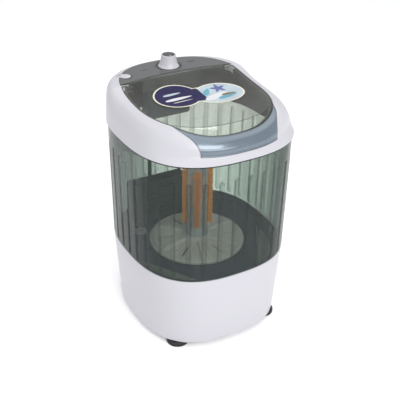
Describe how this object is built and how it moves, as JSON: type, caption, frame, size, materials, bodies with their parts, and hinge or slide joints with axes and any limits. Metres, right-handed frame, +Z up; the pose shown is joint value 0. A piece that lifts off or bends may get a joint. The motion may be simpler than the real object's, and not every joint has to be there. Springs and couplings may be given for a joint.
{
  "type": "top load washing machine",
  "caption": "Small top-load washer: clear tub on a white base, domed top frame with hinged clear lid, timer knob, pulsator with brush column and belt drive.",
  "frame": {"origin": "on the floor under the middle of the machine", "axes": "+Z up, -Y out of the front fascia, +X to the right seen from the front"},
  "size_m": [0.35, 0.3706, 0.542],
  "materials": {
    "white_plastic": "semi-gloss moulded plastic",
    "smoke_clear_plastic": "clear smoke-tinted plastic",
    "lid_clear_plastic": "clear smoke-tinted plastic",
    "blue_grey_plastic": "satin pearl plastic",
    "dark_grey_plastic": "glossy dark plastic",
    "grey_plastic": "satin moulded plastic",
    "orange_bristles": "nylon bristles",
    "label_film": "printed film with no text",
    "black_rubber": "matte rubber",
    "steel": "zinc-plated or ground steel",
    "cast_aluminium": "as cast",
    "motor_paint": "satin black enamel",
    "black_plastic": "moulded plastic"
  },
  "bodies": {
    "cabinet": {"base_housing": "white_plastic", "base_plate": "white_plastic", "bearing_housing": "cast_aluminium", "capacitor": "black_plastic", "capacitor_clamp": "steel", "control_panel": "dark_grey_plastic", "cord_gland": "black_plastic", "drain_grate": "grey_plastic", "drain_pipe": "black_plastic", "drive_belt": "black_rubber", "foot_front_left": "black_rubber", "foot_front_right": "black_rubber", "foot_rear_left": "black_rubber", "foot_rear_right": "black_rubber", "foot_screw_front_left": "steel", "foot_screw_front_right": "steel", "foot_screw_rear_left": "steel", "foot_screw_rear_right": "steel", "front_fascia": "blue_grey_plastic", "lid_hinge_pin_left": "steel", "lid_hinge_pin_right": "steel", "lint_filter": "dark_grey_plastic", "lower_bearing": "steel", "motor_body": "motor_paint", "motor_bolt_1": "steel", "motor_bolt_2": "steel", "motor_bolt_3": "steel", "motor_bolt_4": "steel", "motor_bracket": "steel", "shaft_seal": "black_rubber", "timer_body": "black_plastic", "timer_cover": "dark_grey_plastic", "top_frame": "white_plastic", "upper_bearing": "steel", "wash_tub": "smoke_clear_plastic", "water_inlet": "white_plastic", "wire_conduit": "dark_grey_plastic", "wiring_box": "dark_grey_plastic"},
    "lid": {"lid": "lid_clear_plastic", "lid_label": "label_film"},
    "timer": {"timer_knob": "white_plastic", "knob_cap": "dark_grey_plastic", "timer_shaft": "steel"},
    "pulsator": {"pulsator": "grey_plastic", "pulsator_screw": "steel", "brush_core": "grey_plastic", "brush_cap": "grey_plastic", "bristle_row_1": "orange_bristles", "bristle_row_2": "orange_bristles", "bristle_row_3": "orange_bristles", "bristle_row_4": "orange_bristles", "drive_shaft": "steel", "driven_pulley": "black_plastic", "pulley_nut": "steel"},
    "motor_rotor": {"motor_shaft": "steel", "motor_pulley": "cast_aluminium"}
  },
  "joints": [
    {"name": "lid_hinge", "type": "hinge", "parent": "cabinet", "child": "lid", "pos_m": [0, 0.09, 0.5136], "axis": [-1, 0, 0], "range_deg": [0, 100]},
    {"name": "timer_turn", "type": "hinge", "parent": "cabinet", "child": "timer", "pos_m": [0.005, 0.142, 0.5125], "axis": [0, 0, -1], "range_deg": [0, 300]},
    {"name": "pulsator_spin", "type": "hinge", "parent": "cabinet", "child": "pulsator", "pos_m": [0, 0, 0.13], "axis": [0, 0, 1], "continuous": true},
    {"name": "motor_spin", "type": "hinge", "parent": "cabinet", "child": "motor_rotor", "pos_m": [0, 0.1, 0.085], "axis": [0, 0, 1], "continuous": true}
  ],
  "couplings": [
    {"joint": "motor_spin", "follows": "pulsator_spin", "ratio": 4.2308}
  ]
}
